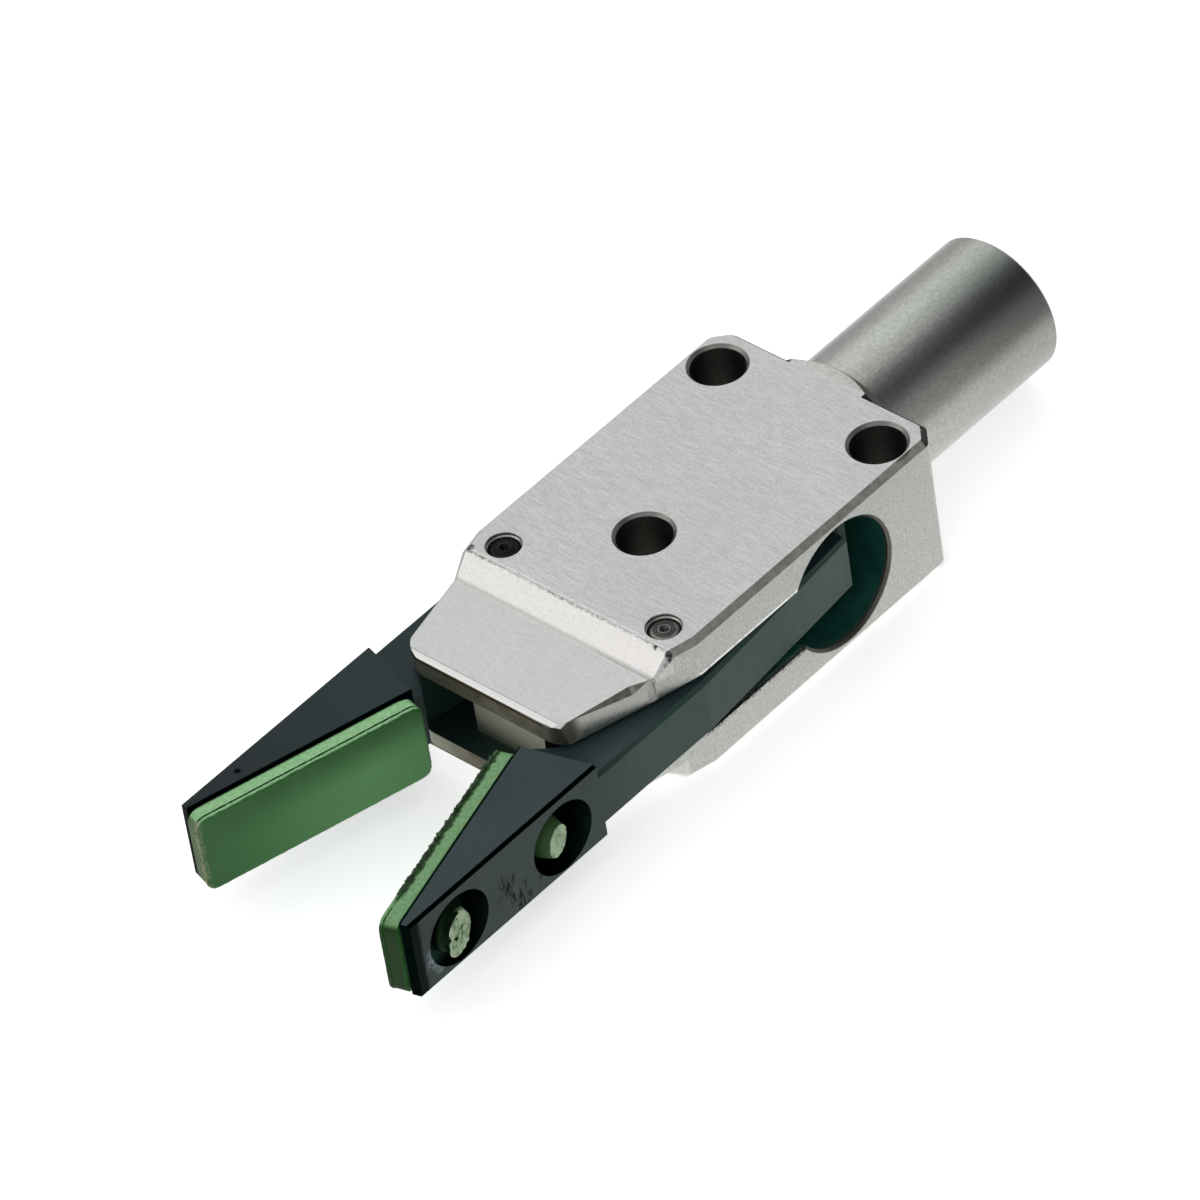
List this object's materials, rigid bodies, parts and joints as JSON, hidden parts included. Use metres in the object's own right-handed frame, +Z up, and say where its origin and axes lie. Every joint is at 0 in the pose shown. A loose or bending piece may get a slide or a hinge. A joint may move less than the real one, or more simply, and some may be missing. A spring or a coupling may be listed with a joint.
{
  "type": "sprue gripper",
  "caption": "Small pneumatic sprue gripper: steel housing with round clamping shank, two pivoting black jaws with green rubber pads, spread at the rear by a piston and wedge.",
  "frame": {"origin": "on the shank axis, where the shank's plain cylinder starts at the housing's shoulder", "axes": "+X along the shank axis towards the jaw tips, +Y towards the right jaw, +Z up, out of the housing's top face"},
  "size_m": [0.0937, 0.0282, 0.0148],
  "materials": {
    "housing_steel": "fine brushed",
    "jaw_black": "black oxidised steel, satin",
    "pad_rubber": "matt green, moulded",
    "pin_steel": "ground and hardened",
    "plug_brass": "turned",
    "seal_rubber": "matt black",
    "spring_steel": "drawn wire and stamped strip",
    "piston_alloy": "turned",
    "guide_plastic": "plain",
    "bush_bronze": "sintered"
  },
  "bodies": {
    "housing": {"housing": "housing_steel", "end_plug": "plug_brass", "plug_seal": "seal_rubber", "plug_ring": "spring_steel", "rod_bush": "bush_bronze", "return_spring": "spring_steel", "opening_spring": "spring_steel", "pivot_pin_left": "pin_steel", "pivot_pin_right": "pin_steel"},
    "piston": {"piston": "piston_alloy", "piston_seal": "seal_rubber", "guide_ring": "guide_plastic", "piston_rod": "pin_steel", "piston_nut": "pin_steel", "wedge": "jaw_black", "wedge_pin": "pin_steel"},
    "jaw_left": {"jaw_left": "jaw_black", "pad_left": "pad_rubber"},
    "jaw_right": {"jaw_right": "jaw_black", "pad_right": "pad_rubber"}
  },
  "joints": [
    {"name": "piston_slide", "type": "slide", "parent": "housing", "child": "piston", "axis": [1, 0, 0], "range_m": [0, 0.0045], "stiffness_N_per_m": 1500, "springref_m": -0.003, "deforming": ["return_spring"]},
    {"name": "jaw_right_hinge", "type": "hinge", "parent": "housing", "child": "jaw_right", "pos_m": [0.0342, 0.0093, 0], "axis": [0, 0, -1], "range_deg": [0, 15.5], "deforming": ["opening_spring"]},
    {"name": "jaw_left_hinge", "type": "hinge", "parent": "housing", "child": "jaw_left", "pos_m": [0.0342, -0.0093, 0], "axis": [0, 0, 1], "range_deg": [0, 15.5]}
  ],
  "couplings": [
    {"joint": "jaw_right_hinge", "follows": "piston_slide", "rad_per_m": 60.1},
    {"joint": "jaw_left_hinge", "follows": "piston_slide", "rad_per_m": 60.1}
  ]
}
